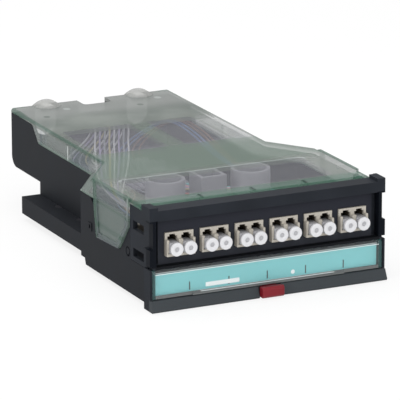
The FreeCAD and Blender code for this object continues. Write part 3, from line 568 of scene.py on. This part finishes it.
# the turns run round both drums, straight between them
turns = []
for radius, level, jacket_name in (
        (9.4, 20.4, "yellow"), (10.5, 20.4, "blue"), (9.9, 21.3, "white"), (9.2, 21.6, "orange"),
        (10.7, 21.5, "green"), (10.0, 20.2, "slate"), (9.5, 22.1, "violet")):
    ring = []
    for side in (1, -1):
        ring += [(-side * 8, drum_y - side * radius, level), (side * 8, drum_y - side * radius, level)]
        for step in range(7):
            turn = math.radians(-90 + 30 * step)
            ring.append((side * (drum_x + radius * 1.02 * math.cos(turn)),
                         drum_y + side * radius * 1.02 * math.sin(turn), level))
    turns.append((ring, jacket_name, True))
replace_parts(lay_fibres("wound_fibres", turns), "fibre_coil")

# Clear cover. One moulding of clear plastic with a light green tint. Its top
# is frosted but for three clear windows, its edges carry the light and look
# dark green, and its two side tabs clip over the tray's walls.

window_front, window_rear = 91, 132
frost_starts, frost_full = 128, 140
light_let_through = 0.3


def either_of(tree, *masks):
    """1 where any mask is 1."""
    total = masks[0]
    for mask in masks[1:]:
        total = number_step(tree, "MAXIMUM", total, mask)
    return total


def patch(tree, x, y, left, right, front, back, corner=0.4, soft=0.5):
    """1 inside a rectangle with round corners."""
    overshoot = tree.nodes.new("ShaderNodeCombineXYZ")
    for socket, value, low, high in ((overshoot.inputs[0], x, left, right),
                                     (overshoot.inputs[1], y, front, back)):
        offset = number_step(tree, "SUBTRACT", value, (low + high) / 2, clamp=False)
        offset = number_step(tree, "ABSOLUTE", offset, clamp=False)
        offset = number_step(tree, "SUBTRACT", offset, (high - low) / 2 - corner, clamp=False)
        tree.links.new(number_step(tree, "MAXIMUM", offset, 0.0, clamp=False), socket)
    reach = tree.nodes.new("ShaderNodeVectorMath")
    reach.operation = "LENGTH"
    tree.links.new(overshoot.outputs[0], reach.inputs[0])
    return rise(tree, reach.outputs["Value"], corner + soft / 2, corner - soft / 2)


def along(tree, x, y, towards_x, towards_y):
    """How far a point lies along a direction in plan."""
    plan = tree.nodes.new("ShaderNodeCombineXYZ")
    tree.links.new(x, plan.inputs[0])
    tree.links.new(y, plan.inputs[1])
    measured = tree.nodes.new("ShaderNodeVectorMath")
    measured.operation = "DOT_PRODUCT"
    measured.inputs[1].default_value = (towards_x, towards_y, 0)
    tree.links.new(plan.outputs[0], measured.inputs[0])
    return measured.outputs["Value"]


clear = bpy.data.materials.new("clear_green_plastic")
clear.use_nodes = True
tree = clear.node_tree
surface = tree.nodes["Principled BSDF"]
surface.inputs["Specular IOR Level"].default_value = 0.3
x, y, z = axes_in_mm(tree)
width = number_step(tree, "ABSOLUTE", x, clamp=False)
on_top = rise(tree, z, 39.6, 40.0)
cloud = noise(tree, 28, 3)
streaks = noise(tree, 90, 5)

# the clear windows, and a painted highlight along the rear rim of the front one
front_window = both(tree, patch(tree, x, y, -45, 40, 20, 50, 2.5),
                    rise(tree, along(tree, x, y, -0.6, 0.8), 66.4, 65.6))
rear_windows = either_of(tree, *[patch(tree, x, y, left, right, window_front, window_rear, 1.2)
                                 for left, right in ((-35, -3), (5.5, 27))])
windows = both(tree, either_of(tree, front_window, rear_windows), on_top)
rim_painted_highlight = both(tree, patch(tree, x, y, -45.8, 41.2, 19.2, 51.0, 2.5), rise(tree, y, 46.5, 49),
                 rise(tree, z, 41.0, 41.5))

# where the light leaves the plastic: its long edges, its shoulders and its foot
neck_edge = both(tree, within(tree, width, 37.9, 40, 0.5), rise(tree, y, 80, 83), rise(tree, z, 40.3, 40.9))
side_edge = both(tree, rise(tree, width, 51.3, 52.0), rise(tree, z, 40.4, 41.0), rise(tree, y, 74, 72))
slope_edge = both(tree, within(tree, along(tree, width, y, 0.813, 0.582), 77.0, 79.5, 0.6),
                  rise(tree, z, 40.3, 40.9), rise(tree, width, 37.6, 38.4), within(tree, y, 60, 84, 2))
foot = both(tree, rise(tree, z, 33.9, 33.4), rise(tree, width, 53.0, 52.7))
front_edge = both(tree, rise(tree, y, 13.2, 11.6), on_top)
rear_edge = both(tree, either_of(tree, rise(tree, y, 178.4, 179.2), rise(tree, width, 36.9, 37.7)),
                 rise(tree, y, 160, 170), rise(tree, z, 38.8, 39.4), rise(tree, width, 31.5, 32.5))
grooves = [patch(tree, x, y, middle - 0.65, middle + 0.65, 11, 18.2, 0.3, 0.3) for middle in (-24, 0, 24)]
grooves = both(tree, either_of(tree, *grooves), on_top)

# the tones of the top between its windows: greener bands, and at the right a field of painted light let in
# through the skirt
green_band = both(tree, rise(tree, y, 19.6, 18.8), on_top)
middle_band = both(tree, within(tree, y, 54, 92, 6), on_top)
centre_strip = both(tree, within(tree, x, -3, 5.5, 0.6), within(tree, y, window_front, window_rear, 2),
                    on_top)
right_field_painted_light = both(tree, patch(tree, x, y, 28.5, 41, 90, window_rear, 1.2), on_top)

# the mould was filled through two gates, whose marks stay; at the right of each dome is a painted highlight
gates = [patch(tree, x, y, a - 1.4, a + 1.4, b - 1.6, b + 1.6, 1.3, 0.5)
         for a, b in ((-30.5, 159), (15.8, 161))]
gates = both(tree, either_of(tree, *gates), on_top)
dome_painted_highlights = [patch(tree, x, y, a - 1.5, a + 1.5, b - 1.8, b + 1.8, 1.4, 0.6) for a, b in ((-17, 168), (28, 169))]
dome_painted_highlights = both(tree, either_of(tree, *dome_painted_highlights), on_top)
domes = rise(tree, z, 42.1, 42.5)

# the side tabs, with a line where they leave the wall, a thick foot and a painted highlight on the front
# edge, and the skirt
tab = rise(tree, width, 52.8, 53.2)
tab_line = both(tree, tab, within(tree, z, 32.6, 33.6, 0.4))
tab_rear = both(tree, tab, rise(tree, y, 53.4, 54.6))
tab_foot = both(tree, tab, within(tree, z, 22.4, 24.6, 0.8))
tab_edge_painted_highlight = both(tree, tab, rise(tree, y, 23.8, 23.4), rise(tree, z, 28, 37))
skirt = both(tree, rise(tree, z, 39.9, 39.5), rise(tree, width, 52.8, 52.65))
# painted highlights on a rib of the neck skirt and on the shoulder corners
skirt_painted_highlights = either_of(tree, both(tree, within(tree, y, 117.2, 118.0, 0.3), rise(tree, width, 38.3, 38.5)),
                 both(tree, within(tree, y, 71.9, 72.8, 0.3), rise(tree, width, 52.3, 52.4)))
skirt_painted_highlights = both(tree, skirt_painted_highlights, skirt)
shade = both(tree, skirt, either_of(tree, within(tree, y, 145, 148, 1), within(tree, y, 95, 115, 3)))

frosted = blend(tree, rise(tree, cloud, 0.35, 0.65), (0.15, 0.18, 0.16), (0.19, 0.215, 0.195))
frosted = blend(tree, rise(tree, streaks, 0.55, 0.8), frosted, (0.26, 0.28, 0.27))
rear_tone = blend(tree, rise(tree, y, 148, 164), (0.09, 0.113, 0.1), (0.2, 0.213, 0.205))
rear = rise(tree, y, frost_starts, frost_full)
frosted = blend(tree, both(tree, rear, rise(tree, cloud, 0.75, 0.45)), frosted, rear_tone)
colour = blend(tree, middle_band, frosted, (0.12, 0.175, 0.14))
colour = blend(tree, centre_strip, colour, (0.15, 0.19, 0.165))
colour = blend(tree, right_field_painted_light, colour, (0.29, 0.31, 0.305))
colour = blend(tree, domes, colour, (0.33, 0.335, 0.32))
colour = blend(tree, green_band, colour, (0.05, 0.135, 0.095))
colour = blend(tree, rim_painted_highlight, colour, (0.42, 0.45, 0.45))
colour = blend(tree, windows, colour, (0.15, 0.155, 0.185))
colour = blend(tree, skirt, colour, (0.27, 0.3, 0.29))
colour = blend(tree, shade, colour, (0.17, 0.2, 0.22))
colour = blend(tree, skirt_painted_highlights, colour, (0.7, 0.74, 0.74))
colour = blend(tree, tab, colour, (0.122, 0.142, 0.157))
edges = either_of(tree, neck_edge, side_edge, slope_edge, rear_edge, front_edge, grooves, tab_line, tab_rear,
                  tab_foot)
colour = blend(tree, edges, colour, (0.03, 0.09, 0.06))
colour = blend(tree, number_step(tree, "MULTIPLY", foot, 0.7), colour, (0.06, 0.13, 0.09))
colour = blend(tree, gates, colour, (0.06, 0.085, 0.07))
colour = blend(tree, dome_painted_highlights, colour, (0.33, 0.36, 0.35))
colour = blend(tree, tab_edge_painted_highlight, colour, (0.3, 0.34, 0.33))
tree.links.new(colour, surface.inputs["Base Color"])

# each wall has two faces, so these count twice; most light passes to the inside
opacity = blend_number(tree, rear, 0.5, 0.8)
opacity = blend_number(tree, right_field_painted_light, opacity, 0.36)
opacity = blend_number(tree, windows, opacity, blend_number(tree, rear_windows, 0.28, 0.34))
opacity = blend_number(tree, skirt, opacity, 0.44)
opacity = blend_number(tree, tab, opacity, 0.5)
opacity = blend_number(tree, either_of(tree, domes, middle_band, green_band), opacity, 0.56)
opacity = blend_number(tree, either_of(tree, edges, foot, skirt_painted_highlights, tab_edge_painted_highlight), opacity, 0.68)
opacity = blend_number(tree, front_edge, opacity, 0.62)
path = tree.nodes.new("ShaderNodeLightPath")
passing = either_of(tree, path.outputs["Is Shadow Ray"], path.outputs["Is Diffuse Ray"])
opacity = both(tree, opacity, blend_number(tree, passing, 1.0, light_let_through))
tree.links.new(opacity, surface.inputs["Alpha"])
gloss = blend_number(tree, windows, 0.36, 0.1)
tree.links.new(blend_number(tree, front_edge, gloss, 0.9), surface.inputs["Roughness"])
frost = both(tree, noise(tree, 1800), number_step(tree, "SUBTRACT", 1.0, windows))
frost_bump = raise_by(tree, frost, 0.0002, 0.1)
tree.links.new(raise_by(tree, cloud, 0.002, 0.08, frost_bump), surface.inputs["Normal"])
finish_node("clear_cover", clear, edge=0.00025)

# Label flap. A clear moulded plate on two pins; a turquoise card with ticks,
# a bar and a dot slides into the channel along its foot.

window = bpy.data.materials.new("clear_window_plastic")
window.use_nodes = True
tree = window.node_tree
surface = tree.nodes["Principled BSDF"]
x, z = axes_in_mm(tree)[::2]
width = number_step(tree, "ABSOLUTE", x, clamp=False)
lip = rise(tree, z, 6.3, 6.0)
# painted highlights along the lip and the top edge of the clear plate
lip_painted_highlights = both(tree, within(tree, x, -31, 30.5, 1),
                 either_of(tree, within(tree, z, 5.9, 6.15, 0.1), rise(tree, z, 4.6, 4.4)))
top_painted_highlight = both(tree, within(tree, z, 15.1, 15.45, 0.1), rise(tree, width, 51.6, 51.2))
ends = rise(tree, width, 51.2, 51.4)
tone = blend(tree, lip, (0.75, 0.82, 0.83), (0.2, 0.21, 0.21))
tone = blend(tree, ends, tone, (0.03, 0.09, 0.09))
painted_highlights = either_of(tree, lip_painted_highlights, top_painted_highlight)
tree.links.new(blend(tree, painted_highlights, tone, (0.85, 0.9, 0.9)), surface.inputs["Base Color"])
cover_up = blend_number(tree, either_of(tree, lip, ends), 0.06, 0.7)
tree.links.new(blend_number(tree, painted_highlights, cover_up, 0.8), surface.inputs["Alpha"])
tree.links.new(blend_number(tree, noise(tree, 200), 0.05, 0.14), surface.inputs["Roughness"])
tree.links.new(raise_by(tree, noise(tree, 60), 0.0005, 0.05), surface.inputs["Normal"])
finish_node("label_window", window, edge=0.0001)

card = plastic("turquoise_card", (0.19, 0.58, 0.6), 0.6, grain=0.05, mottle=0.03)
tree = card.node_tree
x, z = axes_in_mm(tree)[::2]
ticks = either_of(tree, *[patch(tree, x, z, place - 0.3, place + 0.3, 6.7, 10.2, 0.1, 0.1)
                          for place in (-35.3, -17.4, 0.2, 17.9, 35.5)])
bar = patch(tree, x, z, -28, -12.6, 7.1, 8.9, 0.3, 0.3)
dot = patch(tree, x, z, 11.1, 12.9, 7.2, 9.0, 0.9, 0.2)
recolour(card, ticks, (0.01, 0.05, 0.05))
recolour(card, either_of(tree, bar, dot), (0.92, 0.95, 0.95))
finish_node("label_strip", card, edge=0)

# Release button. Red plastic head on a flat stem, with a folded spring
# behind it against the tray's stop. Pressed, the spring keeps about two
# thirds of its length.

red = plastic("red_plastic", (0.21, 0.008, 0.016), 0.38, grain=0.05, gloss=0.3)
finish_node("release_button", red, edge=0.0003)
spring_plastic = plastic("black_spring_plastic", (0.04, 0.04, 0.045), 0.35, grain=0.02)
folds = bmesh.new()
folds.from_mesh(nodes["button_spring"].data)
spring = new_piece("folded_spring", folds, [spring_plastic], "tray", smooth=30)
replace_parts(spring, "button_spring")
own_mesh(spring)
